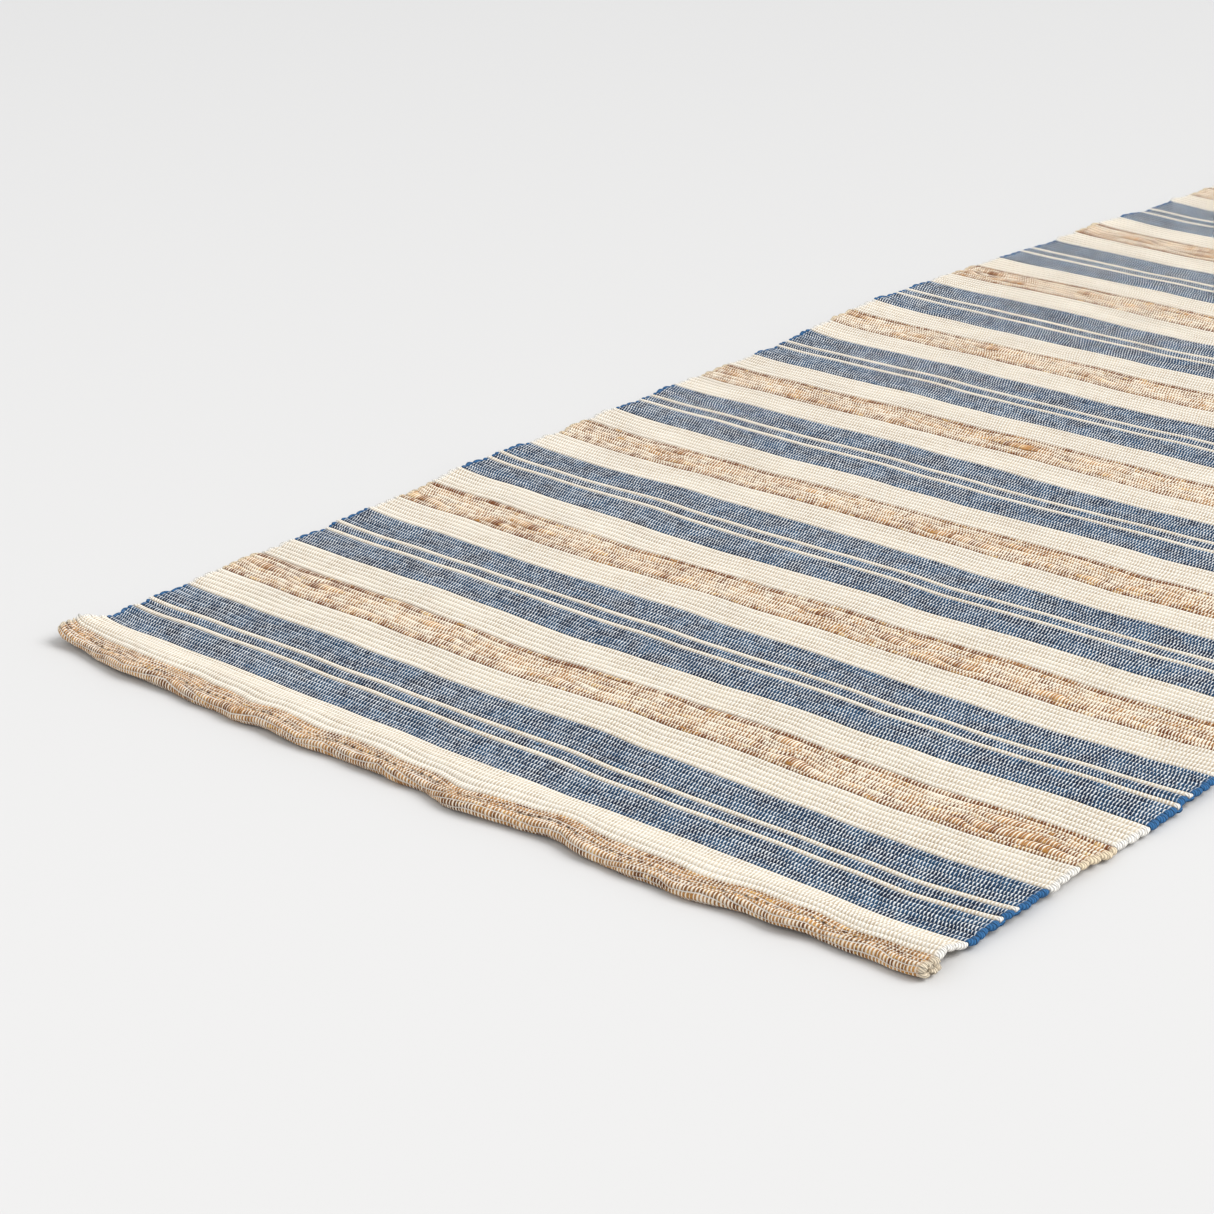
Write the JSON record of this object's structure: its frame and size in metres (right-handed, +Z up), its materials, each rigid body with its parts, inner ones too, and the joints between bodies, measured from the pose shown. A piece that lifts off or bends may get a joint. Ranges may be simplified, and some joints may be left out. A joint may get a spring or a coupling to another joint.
{
  "type": "table runner",
  "caption": "Long narrow handwoven table runner with ribbed cream, blue and tan cross stripes, lying flat, with a turned and stitched hem at each end.",
  "frame": {"origin": "middle of the runner's underside, on the surface that it lies on", "axes": "+Z up out of the face, +Y along the length towards the far hem, +X across to the right selvedge"},
  "size_m": [0.352, 1.8376, 0.0047],
  "materials": {
    "cream_cotton": "matt, thick soft cream cotton weft in rounded ribs",
    "blue_cotton": "matt, heathered denim-blue cotton weft in rounded ribs",
    "jute": "matt, slubby tan jute weft",
    "warp_cotton": "matt, fine ivory cotton warp that shows as short floats over each rib",
    "sewing_thread": "slightly glossy grey-tan sewing thread"
  },
  "bodies": {
    "root": {"blue_weft_01": "blue_cotton", "blue_weft_02": "blue_cotton", "blue_weft_03": "blue_cotton", "blue_weft_04": "blue_cotton", "blue_weft_05": "blue_cotton", "blue_weft_06": "blue_cotton", "blue_weft_07": "blue_cotton", "blue_weft_08": "blue_cotton", "blue_weft_09": "blue_cotton", "blue_weft_10": "blue_cotton", "blue_weft_11": "blue_cotton", "blue_weft_12": "blue_cotton", "blue_weft_13": "blue_cotton", "blue_weft_14": "blue_cotton", "blue_weft_15": "blue_cotton", "blue_weft_16": "blue_cotton", "blue_weft_17": "blue_cotton", "blue_weft_18": "blue_cotton", "blue_weft_19": "blue_cotton", "blue_weft_20": "blue_cotton", "blue_weft_21": "blue_cotton", "bobbin_thread_back": "sewing_thread", "bobbin_thread_front": "sewing_thread", "cream_weft": "cream_cotton", "hem_jute_back": "jute", "hem_jute_front": "jute", "jute_weft_01": "jute", "jute_weft_02": "jute", "jute_weft_03": "jute", "jute_weft_04": "jute", "jute_weft_05": "jute", "jute_weft_06": "jute", "jute_weft_07": "jute", "jute_weft_08": "jute", "jute_weft_09": "jute", "jute_weft_10": "jute", "jute_weft_11": "jute", "jute_weft_12": "jute", "jute_weft_13": "jute", "jute_weft_14": "jute", "jute_weft_15": "jute", "jute_weft_16": "jute", "jute_weft_17": "jute", "jute_weft_18": "jute", "jute_weft_19": "jute", "jute_weft_20": "jute", "needle_thread_back": "sewing_thread", "needle_thread_front": "sewing_thread", "warp": "warp_cotton"}
  },
  "joints": []
}
